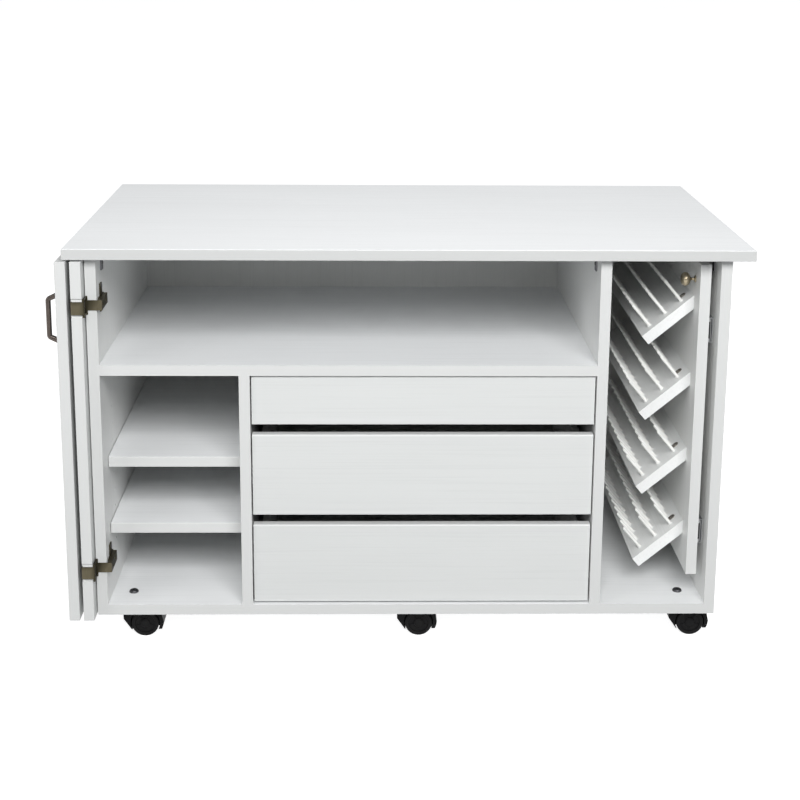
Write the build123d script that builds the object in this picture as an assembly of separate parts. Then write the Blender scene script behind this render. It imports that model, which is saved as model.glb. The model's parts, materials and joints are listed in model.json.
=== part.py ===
from build123d import *
import math
import os

os.makedirs("parts", exist_ok=True)

# Sewing table. Millimetres, +Z up, +X to the right, +Y to the back. The pieces are worked out from the
# cabinet's front left corner on the floor, and moved together at the end, so that the origin lies on the
# floor under the table's middle.

# Cabinet
board = 19.0                # thickness of every cabinet board
carcass_height = 661.0      # from the underside of the base to the underside of the top
inner_depth = 600.0         # front edge of the boards to the back panel
back_board = 12.0
left_column = 242.0         # clear width beside the drawers
drawer_bay = 610.0
rack_column = 190.0
bay_height = 192.0          # clear height of the machine bay
top_overhang_side = 35.0
top_overhang_front = 22.0
top_overhang_back = 39.0
top_ease = 1.2              # rounding of the tabletop's edges

# Adjustable shelves
shelf_setback = 51.0
shelf_play = 1.0            # at each end
lower_shelf_share = 0.3045  # undersides, as shares of the height below the machine shelf
upper_shelf_share = 0.5867
pin_radius = 2.5
pin_depth = 9.0
pin_reach = 8.0             # how far a pin stands out of the wall
pin_row_pitch = 32.0
pin_row_start = 72.0        # lowest row above the underside of the base
pin_row_end = 56.0          # highest row at least this far below the machine shelf
pin_inset = 60.0            # rows from a shelf's front and back edges

# Screws
confirmat_head = 5.0
confirmat_head_depth = 3.2
confirmat_shank = 3.0
confirmat_length = 48.0
bore_play = 0.1
small_head = 3.4
small_head_depth = 1.4
small_shank = 1.8
small_length = 11.0

# Casters
wheel_radius = 25.0
wheel_headroom = 8.0        # top of the wheels to the underside of the base
wheel_width = 16.5
web_thickness = 13.0        # between the two wheels
wheel_web_gap = 0.5
caster_trail_share = 0.88   # wheel axle behind the king pin, as a share of the wheel's radius
caster_inset = 57.0         # king pin from the cabinet's sides and front
hood_width = 43.0
hood_wheel_gap = 2.0
king_radius = 4.0
king_head_radius = 8.5
king_head_height = 5.0
king_below = 30.0
washer_radius = 11.0
washer_thickness = 1.2
swivel_gap = 0.3
axle_radius = 3.0
fit_play = 0.05             # radial play of a running fit

# Drawers
drawer_reveal = 2.5         # beside and between a front and its opening
finger_gap = 19.5           # open strip above the two lower fronts
drawer_setback = 6.0        # fronts behind the cabinet's front edge
first_front_height = 88.0
lower_front_share = 0.504   # the middle drawer's share of what the two lower fronts divide
front_base_gap = 4.0
front_round = 3.0
box_board = 12.0
box_bottom = 6.0
box_bottom_rise = 8.0
box_lift = 13.0             # box underside above its front's lower edge
first_box_drop = 15.0       # top of the box below the top of its front
lower_box_drop = 29.0

# Ball-bearing slides, seen along their length: the rail is slide_height tall and slide_thick across
slide_thick = 12.7
slide_height = 45.0
slide_sheet = 1.2
slide_start = 32.0          # front end behind the cabinet's front edge
slide_back_gap = 68.0       # rear end in front of the back panel
outer_reach = 9.6
mid_start = 3.2
mid_height = 37.4
mid_reach = 9.6
inner_height = 29.8
inner_start = 5.8
cage_start = 4.9
cage_reach = 8.9
cage_gap = 0.35

# Thread rack
rack_front = 20.0           # the rack's clearance behind the cabinet's front edge and before its back
rack_base_gap = 49.0
rack_top_gap = 15.0
rack_slope = 40.0
rack_shelves = 4
rack_head = 156.0           # highest shelf's low edge below the underside of the top
rack_shelf_width = 117.8    # up the slope
rack_shelf_front = 45.0     # behind the rack panel's front edge
rack_shelf_back = 20.0      # shelves end before the rack panel's rear edge
rack_low_end = 60.0         # lowest shelf's top edge above the base
peg_radius = 3.0
peg_length = 50.0
peg_sunk = 9.0
peg_columns = 3
peg_first = 22.0
peg_pitch = 36.0
peg_row_first = 24.0
cam_radius = 7.5
cam_depth = 11.0
cam_cap = 1.2
cam_from_panel = 17.0
knob_radius = 12.5
knob_reach = 27.0
knob_below_top = 34.0
knob_behind_front = 40.0
rack_slide_low = 74.0       # slide centre above the rack panel's lower edge
rack_slide_drop = 124.0     # slide centre below the rack panel's upper edge
rack_slide_inset = 25.0     # slides behind the rack panel's front edge

# Folding door
door_top_gap = 3.0
door_gap = 2.0              # closed panels in front of the cabinet
door_left_over = 1.0
door_right_reveal = 2.0
fold_gap = 3.0              # between the two panels when they are straight
fold_space = 7.0            # between the two panels when they are folded
door_round = 1.0
hinge_low = 92.0            # above the underside of the base
hinge_drop = 84.0           # below the underside of the top
pivot_inset = 1.5           # pivot line inside the door's outer edge when closed
pivot_proud = 2.5           # pivot line in front of the closed door's face
knuckle_radius = 2.2
hinge_pin_radius = 1.2
ear_thickness = 2.2
ear_low = 11.9
ear_high = 16.5
door_arm_half = 11.5
door_leaf = 1.6
door_leaf_length = 56.0
door_leaf_screws = (35.0, 49.0)     # from the door's hinged edge, past the end of the side arm
arm_half = 9.0
arm_plate = 1.6
arm_stand = 9.0             # arm's outer face off the side's inner wall
arm_length = 58.0
mount_plate = 2.4
mount_wing_low = 19.0       # the plate's wings below and above the arm's middle
mount_wing_high = 31.0
mount_screw_inset = 6.0
mount_wing_width = 17.0
mount_setback = 37.0
mount_foot_half = 10.0
mount_foot_length = 46.0
fold_hinges = 3
fold_hinge_half = 25.0
fold_knuckle = 2.5
fold_pin = 1.2
fold_leaf_reach = 30.0
fold_leaf = 1.5
fold_low = 92.0             # above the underside of the base
fold_drop = 99.0            # below the underside of the top

# Handle
handle_height = 96.0
handle_flat = 76.0
handle_reach = 25.0
handle_bar = 9.0
handle_width = 10.0
handle_from_edge = 42.0
handle_drop = 111.0         # below the underside of the top
handle_screw = 2.0
handle_hole_pitch = 84.0

# Angle brackets under the top
bracket_leg = 33.0
bracket_width = 16.0
bracket_sheet = 2.5
bracket_front = 55.0
bracket_back = 80.0         # from the back panel

# Levels and walls that follow from the sizes above
base_under = 2 * wheel_radius + wheel_headroom
base_top = base_under + board
top_under = base_under + carcass_height
shelf_top = top_under - bay_height
shelf_under = shelf_top - board
left_inner = board
divider_left = left_inner + left_column
divider_right = divider_left + board
bay_right = divider_right + drawer_bay
rack_left = bay_right + board
rack_right = rack_left + rack_column
cabinet_width = rack_right + board
cabinet_depth = inner_depth + back_board
slide_length = inner_depth - slide_start - slide_back_gap
caster_trail = caster_trail_share * wheel_radius

nodes = {}


def keep(name, *solids):
    """Adds solids to a node."""
    nodes.setdefault(name, []).extend(solids)


def block(x, y, z):
    """A box from its low and high value in each direction."""
    middle = Pos((x[0] + x[1]) / 2, (y[0] + y[1]) / 2, (z[0] + z[1]) / 2)
    return middle * Box(x[1] - x[0], y[1] - y[0], z[1] - z[0])


def rod(start, direction, radius, length):
    """A cylinder that starts at a point and runs along a direction."""
    place = Plane(origin=start, z_dir=direction)
    return place * Cylinder(radius, length, align=(Align.CENTER, Align.CENTER, Align.MIN))


def confirmat(start, direction, play=0.0):
    """An assembly screw with its head let in flush at the start point, or the bore for it."""
    head = rod(start, direction, confirmat_head + play, confirmat_head_depth + play)
    return head + rod(start, direction, confirmat_shank + play, confirmat_length + play)


def small_screw(surface, direction, play=0.0):
    """A small screw driven along a direction, its pan head standing on the surface, or its bore."""
    shank = rod(surface, direction, small_shank + play, small_length + play)
    if play:
        return shank
    back_along = tuple(-part for part in direction)
    head = rod(surface, back_along, small_head, small_head_depth)
    return head + shank


def bored(solid, cutters):
    """A solid with every cutter taken out of it."""
    return solid - cutters if cutters else solid


def in_line(low, high, count):
    """Evenly spaced values from low to high."""
    return [low + (high - low) * step / (count - 1) for step in range(count)]


# %% Assembly screws: where each one starts and the way it is driven
screw_depths = in_line(80.0, inner_depth - 80.0, 3)
base_middle = base_under + board / 2
shelf_middle = shelf_under + board / 2
left_side_screws = [((0, y, z), (1, 0, 0)) for z in (base_middle, shelf_middle) for y in screw_depths]
right_side_screws = [((cabinet_width, y, base_middle), (-1, 0, 0)) for y in screw_depths]
divider_screws = [((rack_left, y, shelf_middle), (-1, 0, 0)) for y in screw_depths]
foot_screws = [
    ((middle, y, base_under), (0, 0, 1))
    for middle in (divider_left + board / 2, bay_right + board / 2)
    for y in screw_depths
]
all_screws = left_side_screws + right_side_screws + divider_screws + foot_screws
screw_bores = [confirmat(start, way, bore_play) for start, way in all_screws]
keep("assembly_screws", *[confirmat(start, way) for start, way in all_screws])

# %% Caster stations: two rows of three, the wheels trailing to the right
stations = [
    (x, y)
    for y in (caster_inset, cabinet_depth - caster_inset)
    for x in (caster_inset, cabinet_width / 2, cabinet_width - caster_inset)
]
king_bores = [rod((x, y, base_under), (0, 0, 1), king_radius + bore_play, board) for x, y in stations]

# %% Hinge, bracket and shelf-pin places on the walls
hinge_levels = [base_under + hinge_low, top_under - hinge_drop]
plate_screw_rises = (mount_screw_inset - mount_wing_low, mount_wing_high - mount_screw_inset)
plate_screws = [
    ((left_inner + mount_plate, mount_setback, level + rise), (-1, 0, 0))
    for level in hinge_levels
    for rise in plate_screw_rises
]
bracket_walls = [(left_inner, 1), (bay_right, -1), (rack_right, -1)]
bracket_depths = [bracket_front, inner_depth - bracket_back]
bracket_screws = []
for wall, way in bracket_walls:
    for y in bracket_depths:
        on_wall = (wall + way * bracket_sheet, y, top_under - bracket_leg * 0.62)
        on_top = (wall + way * bracket_leg * 0.62, y, top_under - bracket_sheet)
        bracket_screws += [(on_wall, (-way, 0, 0)), (on_top, (0, 0, 1))]
wall_bores = [small_screw(place, way, bore_play) for place, way in plate_screws + bracket_screws]
below_shelf = shelf_under - base_under
shelf_levels = [base_under + share * below_shelf for share in (lower_shelf_share, upper_shelf_share)]
pin_depths = [shelf_setback + pin_inset, inner_depth - pin_inset]
pin_rows = int((below_shelf - pin_row_start - pin_row_end) / pin_row_pitch) + 1
pin_levels = [base_under + pin_row_start + pin_row_pitch * row for row in range(pin_rows)]
used_levels = [level - pin_radius for level in shelf_levels]
free_of_used = 3 * pin_radius
hole_levels = [level for level in pin_levels if all(abs(level - used) > free_of_used for used in used_levels)]
pin_walls = [(left_inner, -1), (divider_left, 1)]
pin_bores = {
    wall: [
        rod((wall, y, level), (way, 0, 0), pin_radius + fit_play, pin_depth)
        for y in pin_depths
        for level in hole_levels + used_levels
    ]
    for wall, way in pin_walls
}
keep(
    "shelf_pins",
    *[
        rod((wall + way * pin_depth, y, level), (-way, 0, 0), pin_radius, pin_depth + pin_reach)
        for wall, way in pin_walls
        for y in pin_depths
        for level in used_levels
    ],
)

# %% Slide rails: one profile for each member, drawn across (u) and up (v), then run along the slide
def slide_member(bands, wall, way, front, level):
    """Boxes given across and up from the wall, joined and run along the slide's length."""
    pieces = [
        block(
            sorted((wall + way * across[0], wall + way * across[1])),
            (front, front + slide_length),
            sorted((level + up[0], level + up[1])),
        )
        for across, up in bands
    ]
    joined = pieces[0]
    for piece in pieces[1:]:
        joined += piece
    return joined


def channel(low, high, half, web_at_low):
    """Web and two flanges of a rail, as pairs of ranges across and up."""
    web = (low, low + slide_sheet) if web_at_low else (high - slide_sheet, high)
    return [
        (web, (-half, half)),
        ((low, high), (half - slide_sheet, half)),
        ((low, high), (-half, -half + slide_sheet)),
    ]


outer_bands = channel(0.0, outer_reach, slide_height / 2, True)
mid_bands = channel(mid_start, mid_reach, mid_height / 2, True)
inner_bands = channel(inner_start, slide_thick, inner_height / 2, False)
outer_cage = (mid_height / 2 + cage_gap, slide_height / 2 - slide_sheet - cage_gap)
inner_cage = (inner_height / 2 + cage_gap, mid_height / 2 - slide_sheet - cage_gap)


def slide_parts(wall, way, front, level):
    """Outer rail, middle rail with its ball cages, and inner rail of one slide."""
    cages = [
        slide_member([((cage_start, cage_reach), (sign * gap[0], sign * gap[1]))], wall, way, front, level)
        for gap in (outer_cage, inner_cage)
        for sign in (-1, 1)
    ]
    return (
        slide_member(outer_bands, wall, way, front, level),
        [slide_member(mid_bands, wall, way, front, level)] + cages,
        slide_member(inner_bands, wall, way, front, level),
    )


# %% Cabinet boards
depth = (0, inner_depth)
between_sides = (left_inner, rack_right)
left_side = block((0, left_inner), (0, cabinet_depth), (base_under, top_under))
keep("left_side_panel", bored(left_side, screw_bores + wall_bores + pin_bores[left_inner]))
right_side = block((rack_right, cabinet_width), (0, cabinet_depth), (base_under, top_under))
keep("right_side_panel", bored(right_side, screw_bores + wall_bores))
base = block(between_sides, (0, cabinet_depth), (base_under, base_top))
keep("base_panel", bored(base, screw_bores + king_bores))
keep("back_panel", block(between_sides, (inner_depth, cabinet_depth), (base_top, top_under)))
machine_shelf = block((left_inner, bay_right), depth, (shelf_under, shelf_top))
keep("machine_shelf", bored(machine_shelf, screw_bores))
left_divider = block((divider_left, divider_right), depth, (base_top, shelf_under))
keep("left_divider", bored(left_divider, screw_bores + pin_bores[divider_left]))
right_divider = block((bay_right, rack_left), depth, (base_top, top_under))
keep("right_divider", bored(right_divider, screw_bores + wall_bores))
top = block(
    (-top_overhang_side, cabinet_width + top_overhang_side),
    (-top_overhang_front, cabinet_depth + top_overhang_back),
    (top_under, top_under + board),
)
keep("tabletop", bored(fillet(top.edges(), top_ease), wall_bores))

# %% Adjustable shelves, resting on their pins
for level in shelf_levels:
    shelf = block(
        (left_inner + shelf_play, divider_left - shelf_play),
        (shelf_setback, inner_depth - shelf_play),
        (level, level + board),
    )
    keep("adjustable_shelves", shelf)

# %% Angle brackets and their screws
for wall, way in bracket_walls:
    for y in bracket_depths:
        span = (y - bracket_width / 2, y + bracket_width / 2)
        upright_x = sorted((wall, wall + way * bracket_sheet))
        upright = block(upright_x, span, (top_under - bracket_leg, top_under))
        flat = block(sorted((wall, wall + way * bracket_leg)), span, (top_under - bracket_sheet, top_under))
        keep("top_brackets", bored(upright + flat, wall_bores))
keep("mounting_screws", *[small_screw(place, way) for place, way in plate_screws + bracket_screws])

# %% King pins: each bolt clamps the base and a washer, and its lower end carries the swivelling hood
for x, y in stations:
    bolt = rod((x, y, base_under - king_below), (0, 0, 1), king_radius, king_below + board)
    head = rod((x, y, base_top), (0, 0, 1), king_head_radius, king_head_height)
    head = fillet(head.edges().group_by(Axis.Z)[-1], 1.6)
    washer = rod((x, y, base_under - washer_thickness), (0, 0, 1), washer_radius, washer_thickness)
    keep("caster_bolts", bolt + head + washer)

# %% Casters
hood_top = base_under - washer_thickness - swivel_gap
wheel_face = web_thickness / 2 + wheel_web_gap
outer_face = wheel_face + wheel_width
for number, (x, y) in enumerate(stations, start=1):
    hub = x + caster_trail
    rise = hood_top - wheel_radius
    back = wheel_radius + hood_wheel_gap + 7.0
    outline = [
        (-wheel_radius, -13.0),
        (-caster_trail - 17.5, 8.0),
        (-caster_trail - 17.5, rise - 7.0),
        (-caster_trail - 12.0, rise),
        (12.0, rise),
        (wheel_radius - 1.0, rise - 6.0),
        (back - 3.0, rise - 16.0),
        (back, 2.0),
        (back - 1.0, -5.0),
        (back - 3.5, -12.0),
    ]
    face = make_face(Polyline(*outline, close=True))
    face = fillet(face.vertices(), 1.5)
    side_plane = Plane(origin=(hub, y, wheel_radius), x_dir=(1, 0, 0), z_dir=(0, -1, 0))
    hood = extrude(side_plane * face, hood_width / 2, both=True)
    pocket = wheel_radius + hood_wheel_gap
    for side in (-1, 1):
        hood -= rod((hub, y + side * web_thickness / 2, wheel_radius), (0, side, 0), pocket, hood_width)
    hood -= rod((x, y, hood_top), (0, 0, -1), king_radius + fit_play, king_below + 2.0)
    hood -= rod((hub, y - hood_width, wheel_radius), (0, 1, 0), axle_radius + fit_play, 2 * hood_width)
    keep(f"caster_{number}_hood", hood)
    axle_half = outer_face - 4.0
    axle = rod((hub, y - axle_half, wheel_radius), (0, 1, 0), axle_radius, 2 * axle_half)
    keep(f"caster_{number}_wheels", axle)
    for side in (-1, 1):
        wheel = rod((hub, y + side * wheel_face, wheel_radius), (0, side, 0), wheel_radius, wheel_width)
        rims = [edge for edge in wheel.edges() if edge.geom_type == GeomType.CIRCLE]
        wheel = fillet(rims, 2.0)
        dish = rod((hub, y + side * outer_face, wheel_radius), (0, -side, 0), wheel_radius - 7.0, 2.5)
        cap = rod((hub, y + side * (outer_face - 2.5), wheel_radius), (0, side, 0), 8.0, 1.8)
        socket = rod((hub, y, wheel_radius), (0, side, 0), axle_radius, axle_half)
        keep(f"caster_{number}_wheels", wheel - dish + cap - socket)

# %% Drawers
drawers_top = shelf_under - drawer_reveal
first_low = drawers_top - first_front_height
lower_room = first_low - base_top - front_base_gap - 2 * finger_gap
second_height = lower_room * lower_front_share
third_height = lower_room - second_height
second_low = first_low - finger_gap - second_height
third_low = second_low - finger_gap - third_height
drawer_sizes = [
    (first_low, first_front_height, first_box_drop),
    (second_low, second_height, lower_box_drop),
    (third_low, third_height, lower_box_drop),
]
front_back = drawer_setback + board
box_left = divider_right + slide_thick
box_right = bay_right - slide_thick
for number, (low, height, box_drop) in enumerate(drawer_sizes, start=1):
    name = f"drawer_{number}"
    front_x = (divider_right + drawer_reveal, bay_right - drawer_reveal)
    front = block(front_x, (drawer_setback, front_back), (low, low + height))
    upper = front.edges().group_by(Axis.Z)[-1].filter_by(Axis.X)
    keep(f"{name}_front", fillet(upper, front_round))
    floor = low + box_lift
    length = (front_back, front_back + slide_length)
    rise = (floor, low + height - box_drop)
    inner_x = (box_left + box_board, box_right - box_board)
    keep(
        f"{name}_box",
        block((box_left, inner_x[0]), length, rise),
        block((inner_x[1], box_right), length, rise),
        block(inner_x, (length[1] - box_board, length[1]), rise),
        block(inner_x, (length[0], length[0] + box_board), rise),
        block(
            inner_x,
            (length[0] + box_board, length[1] - box_board),
            (floor + box_bottom_rise, floor + box_bottom_rise + box_bottom),
        ),
    )
    level = (rise[0] + rise[1]) / 2
    for wall, way in ((divider_right, 1), (bay_right, -1)):
        outer, middle, inner = slide_parts(wall, way, slide_start, level)
        keep("drawer_slide_rails", outer)
        keep(f"{name}_middle_rails", *middle)
        keep(f"{name}_inner_rails", inner)

# %% Thread rack: upright panel
slope = math.radians(rack_slope)
panel_x = (rack_right - slide_thick - board, rack_right - slide_thick)
panel_z = (base_top + rack_base_gap, top_under - rack_top_gap)
panel_y = (rack_front, inner_depth - rack_front)
keep("rack_panel", block(panel_x, panel_y, panel_z))
for level in (panel_z[0] + rack_slide_low, panel_z[1] - rack_slide_drop):
    outer, middle, inner = slide_parts(rack_right, -1, rack_front + rack_slide_inset, level)
    keep("rack_slide_rails", outer)
    keep("rack_middle_rails", *middle)
    keep("rack_inner_rails", inner)

# %% Thread rack: sloped shelves, their pegs and cam-lock covers
uphill = (math.cos(slope), math.sin(slope))
outward = (-math.sin(slope), 0, math.cos(slope))
inward = tuple(-part for part in outward)
low_x = panel_x[0] - rack_shelf_width * uphill[0]
shelf_front = panel_y[0] + rack_shelf_front
rack_shelf_depth = panel_y[1] - rack_shelf_back - shelf_front
rack_pitch = (top_under - rack_head - base_top - rack_low_end) / (rack_shelves - 1)
peg_rows = int((rack_shelf_depth - 2 * peg_row_first) / peg_pitch) + 1
cam_depths = [
    shelf_front + peg_row_first + peg_pitch * 0.5,
    shelf_front + peg_row_first + peg_pitch * (peg_rows - 1.5),
]
for shelf_number in range(rack_shelves):
    low_z = base_top + rack_low_end + rack_pitch * shelf_number

    def on_slope(along, y, level=low_z):
        """A point on the shelf's upper face, a distance up the slope from its low edge."""
        return (low_x + along * uphill[0], y, level + along * uphill[1])

    section = [
        (low_x, low_z),
        (panel_x[0], low_z + rack_shelf_width * uphill[1]),
        (panel_x[0], low_z + rack_shelf_width * uphill[1] - board / uphill[0]),
        (low_x + board * uphill[1], low_z - board * uphill[0]),
    ]
    profile = make_face(Polyline(*section, close=True))
    front_plane = Plane(origin=(0, shelf_front, 0), x_dir=(1, 0, 0), z_dir=(0, -1, 0))
    sloped = extrude(front_plane * profile, -rack_shelf_depth)
    pegs = [
        on_slope(peg_first + peg_pitch * column, shelf_front + peg_row_first + peg_pitch * row)
        for column in range(peg_columns)
        for row in range(peg_rows)
    ]
    cams = [on_slope(rack_shelf_width - cam_from_panel, y) for y in cam_depths]
    holes = [rod(peg, inward, peg_radius + fit_play, peg_sunk) for peg in pegs]
    holes += [rod(cam, inward, cam_radius + bore_play, cam_depth) for cam in cams]
    keep("rack_shelves", bored(sloped, holes))
    for peg in pegs:
        foot = tuple(at + peg_sunk * part for at, part in zip(peg, inward))
        keep("rack_pegs", rod(foot, outward, peg_radius, peg_sunk + peg_length))
    for cam in cams:
        foot = tuple(at + cam_depth * part for at, part in zip(cam, inward))
        keep("rack_cam_locks", rod(foot, outward, cam_radius, cam_depth + cam_cap))

# %% Thread rack: the knob, turned about an axis across the table
knob_y = rack_front + knob_behind_front
knob_z = panel_z[1] - knob_below_top
knob_outline = [
    (0, 0),
    (knob_radius * 0.56, 0),
    (knob_radius * 0.56, knob_reach * 0.08),
    (knob_radius * 0.42, knob_reach * 0.2),
    (knob_radius * 0.42, knob_reach * 0.48),
    (knob_radius * 0.95, knob_reach * 0.66),
    (knob_radius, knob_reach * 0.78),
    (knob_radius * 0.84, knob_reach * 0.93),
    (knob_radius * 0.45, knob_reach),
    (0, knob_reach),
]
knob_face = make_face(Polyline(*knob_outline, close=True))
knob_plane = Plane(origin=(panel_x[0], knob_y, knob_z), x_dir=(0, 0, 1), z_dir=(0, -1, 0))
knob_turn = Axis((panel_x[0], knob_y, knob_z), (-1, 0, 0))
keep("rack_knob", revolve(knob_plane * knob_face, knob_turn))

# %% Folding door: both panels are folded together beside the cabinet's left side
door_width = (cabinet_width + door_left_over - door_right_reveal - fold_gap) / 2
door_z = (base_under, top_under - door_top_gap)
pivot_x = -door_left_over + pivot_inset
pivot_y = -door_gap - board - pivot_proud
inner_x = (pivot_x - pivot_proud - board, pivot_x - pivot_proud)
outer_x = (inner_x[0] - fold_space - board, inner_x[0] - fold_space)
door_y = (pivot_y - pivot_inset, pivot_y - pivot_inset + door_width)
fold_x = inner_x[0] - fold_space / 2
fold_y = door_y[1] + fold_gap / 2
fold_levels = in_line(base_under + fold_low, top_under - fold_drop, fold_hinges)
inner_door = fillet(block(inner_x, door_y, door_z).edges(), door_round)
outer_door = fillet(block(outer_x, door_y, door_z).edges(), door_round)

# %% Cabinet hinges: plate and arm on the cabinet, a wrap-round arm on the door, one pin line between them
for level in hinge_levels:
    wing = block(
        (left_inner, left_inner + mount_plate),
        (mount_setback - mount_wing_width / 2, mount_setback + mount_wing_width / 2),
        (level - mount_wing_low, level + mount_wing_high),
    )
    foot = block(
        (left_inner, left_inner + mount_plate),
        (mount_setback - mount_foot_length / 2, mount_setback + mount_foot_length / 2),
        (level - mount_foot_half, level + mount_foot_half),
    )
    keep("hinge_plates", bored(wing + foot, wall_bores))
    arm_x = (left_inner + mount_plate, left_inner + arm_stand)
    arm = block(arm_x, (-arm_plate, arm_length), (level - arm_half, level + arm_half))
    hollow_z = (level - arm_half + arm_plate, level + arm_half - arm_plate)
    arm -= block((arm_x[0], arm_x[1] - arm_plate), (0, arm_length), hollow_z)
    ear_x = (pivot_x - ear_thickness / 2, pivot_x + ear_thickness / 2)
    arm += block((ear_x[0], arm_x[1]), (-arm_plate, 0), (level - arm_half, level + arm_half))
    arm += block((ear_x[0], ear_x[1] + 2.0), (-arm_plate, 0), (level - ear_high, level + ear_high))
    for side in (-1, 1):
        ends = sorted((level + side * ear_low, level + side * ear_high))
        arm += block(ear_x, (pivot_y, 0), ends)
        arm += rod((pivot_x, pivot_y, ends[0]), (0, 0, 1), knuckle_radius, ear_high - ear_low)
    arm += rod((pivot_x, pivot_y, level - ear_high), (0, 0, 1), hinge_pin_radius, 2 * ear_high)
    keep("hinge_side_arms", arm)
    # the door's arm: knuckle, plate round the panel's front edge, and a leaf let into its inner face
    arm_z = (level - door_arm_half, level + door_arm_half)
    wrap = block((inner_x[0], pivot_x), (door_y[0] - door_leaf, door_y[0]), arm_z)
    wrap += rod((pivot_x, pivot_y, level - door_arm_half), (0, 0, 1), knuckle_radius, 2 * door_arm_half)
    leaf_range = (door_y[0] - door_leaf, door_y[0] + door_leaf_length)
    leaf = block((inner_x[0], inner_x[0] + door_leaf), leaf_range, arm_z)
    inner_door -= leaf
    wrap += leaf
    wrap -= rod(
        (pivot_x, pivot_y, level - ear_high), (0, 0, 1), hinge_pin_radius + fit_play, 2 * ear_high
    )
    leaf_screws = [((inner_x[0], door_y[0] + along, level), (1, 0, 0)) for along in door_leaf_screws]
    for place, way in leaf_screws:
        inner_door -= small_screw(place, way, bore_play)
        wrap -= small_screw(place, way, bore_play)
        keep("door_inner_screws", small_screw(place, way))
    keep("hinge_door_arms", wrap)
    # notches that let the closed panel pass the two ears
    for side in (-1, 1):
        ends = sorted((level + side * door_arm_half, level + side * (ear_high + 0.5)))
        notch_y = (door_y[0] - 1.0, pivot_y + ear_thickness / 2 + 0.7)
        inner_door -= block((inner_x[0] - 1.0, inner_x[1] + 1.0), notch_y, ends)

# %% Fold hinges: knuckles in the space between the panels, leaves let into the inner faces
knuckle_count = 3
knuckle_length = 2 * fold_hinge_half / knuckle_count
for level in fold_levels:
    span = (level - fold_hinge_half, level + fold_hinge_half)
    leaves = {}
    for name, face_x, into in (("inner", inner_x[0], 1), ("outer", outer_x[1], -1)):
        leaf_x = sorted((face_x, face_x + into * fold_leaf))
        leaf = block(leaf_x, (door_y[1] - fold_leaf_reach, door_y[1]), span)
        leaves[name] = leaf
        if name == "inner":
            inner_door -= leaf
        else:
            outer_door -= leaf
        for turn in range(knuckle_count):
            if (turn % 2 == 0) != (name == "inner"):
                continue
            low = span[0] + turn * knuckle_length
            ends = (low + (0.15 if turn else 0.0), low + knuckle_length - (0.15 if turn < 2 else 0.0))
            bridge_x = sorted((face_x + into * fold_leaf, fold_x + into * 1.5))
            leaves[name] += block(bridge_x, (door_y[1], door_y[1] + fold_gap / 2 - 0.1), ends)
            leaves[name] += rod((fold_x, fold_y, ends[0]), (0, 0, 1), fold_knuckle, ends[1] - ends[0])
        for share in (-0.6, 0.6):
            place = (face_x, door_y[1] - fold_leaf_reach * 0.55, level + share * fold_hinge_half)
            way = (into, 0, 0)
            hole = small_screw(place, way, bore_play)
            leaves[name] -= hole
            if name == "inner":
                inner_door -= hole
            else:
                outer_door -= hole
            keep(f"door_{name}_screws", small_screw(place, way))
    pin = rod((fold_x, fold_y, span[0]), (0, 0, 1), fold_pin, 2 * fold_hinge_half)
    pin_hole = rod((fold_x, fold_y, span[0]), (0, 0, 1), fold_pin + fit_play, 2 * fold_hinge_half)
    keep("fold_hinge_inner_leaves", leaves["inner"] + pin)
    keep("fold_hinge_outer_leaves", leaves["outer"] - pin_hole)

# %% Handle: a bow with slanted legs on the outer panel, held by screws from the panel's inner face
handle_y = door_y[0] + handle_from_edge
handle_z = top_under - handle_drop
half = handle_height / 2
flat_half = handle_flat / 2
foot = handle_bar * 0.85
bow = [
    (0, half),
    (handle_reach * 0.55, half - 3.0),
    (handle_reach, flat_half + 2.0),
    (handle_reach, -flat_half - 2.0),
    (handle_reach * 0.55, -half + 3.0),
    (0, -half),
    (0, -half + foot),
    (handle_reach - handle_bar, -flat_half + 4.0),
    (handle_reach - handle_bar, flat_half - 4.0),
    (0, half - foot),
]
handle_plane = Plane(origin=(outer_x[0], handle_y, handle_z), x_dir=(-1, 0, 0), z_dir=(0, 1, 0))
bow_face = make_face(Polyline(*bow, close=True))
handle = extrude(handle_plane * bow_face, handle_width / 2, both=True)
handle = chamfer(handle.faces().filter_by(Axis.Y).edges(), 1.4)
for side in (-1, 1):
    at = (outer_x[1], handle_y, handle_z + side * handle_hole_pitch / 2)
    hole = rod(at, (-1, 0, 0), handle_screw + bore_play, board + 6.2)
    outer_door -= hole
    handle -= hole
    screw = rod(at, (-1, 0, 0), handle_screw, board + 6.0) + rod(at, (1, 0, 0), 4.0, 2.0)
    keep("door_outer_screws", screw)
keep("door_handle", handle)
keep("door_inner_panel", inner_door)
keep("door_outer_panel", outer_door)

# %% Put the origin on the floor under the middle of everything, and write one file for each node
solids_of = {name: [solid for shape in shapes for solid in shape.solids()] for name, shapes in nodes.items()}
size = Compound(sum(solids_of.values(), [])).bounding_box()
shift = Pos(-(size.min.X + size.max.X) / 2, -(size.min.Y + size.max.Y) / 2, -size.min.Z)
print("overall", [round(value, 2) for value in (size.size.X, size.size.Y, size.size.Z)])
print("shift", round(shift.position.X, 4), round(shift.position.Y, 4), round(shift.position.Z, 4))
for name, solids in solids_of.items():
    moved = [shift * solid for solid in solids]
    export_step(moved[0] if len(moved) == 1 else Compound(children=moved), f"parts/{name}.step")
print("nodes", len(solids_of))
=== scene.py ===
# %% [markdown]
# # A white sewing table, dressed over its engineering model
# The table was first drawn as an engineering model: every board, rail and screw is a separate solid, and
# the moving ones hang on joints. This lesson gives that model its looks. Boards stay as drawn and get
# softened edges and a board finish. Small hardware is made again with more detail, and each new piece
# rides on the body it belongs to.

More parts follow.
